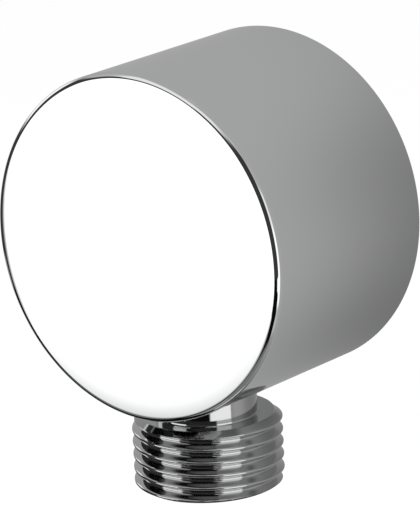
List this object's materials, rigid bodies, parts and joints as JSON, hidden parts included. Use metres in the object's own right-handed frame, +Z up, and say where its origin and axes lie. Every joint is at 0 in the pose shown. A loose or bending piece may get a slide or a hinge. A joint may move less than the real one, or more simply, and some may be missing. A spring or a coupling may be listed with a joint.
{
  "type": "wall outlet elbow",
  "caption": "Round polished wall outlet elbow: a short drum that screws onto a wall pipe, with a threaded nipple below it for a shower hose.",
  "frame": {"origin": "centre of the rear rim, on the wall plane", "axes": "+Y into the wall along the drum's axis, the front faces -Y, +Z up, the nipple points toward -Z"},
  "size_m": [0.048, 0.032, 0.0604],
  "materials": {
    "polished_chrome": "mirror polished plating on brass",
    "turned_chrome": "fine turned plating on brass",
    "seal_rubber": "matt"
  },
  "bodies": {
    "root": {"drum_body": "polished_chrome", "outlet_nipple": "turned_chrome", "nipple_seal_ring": "seal_rubber"}
  },
  "joints": []
}
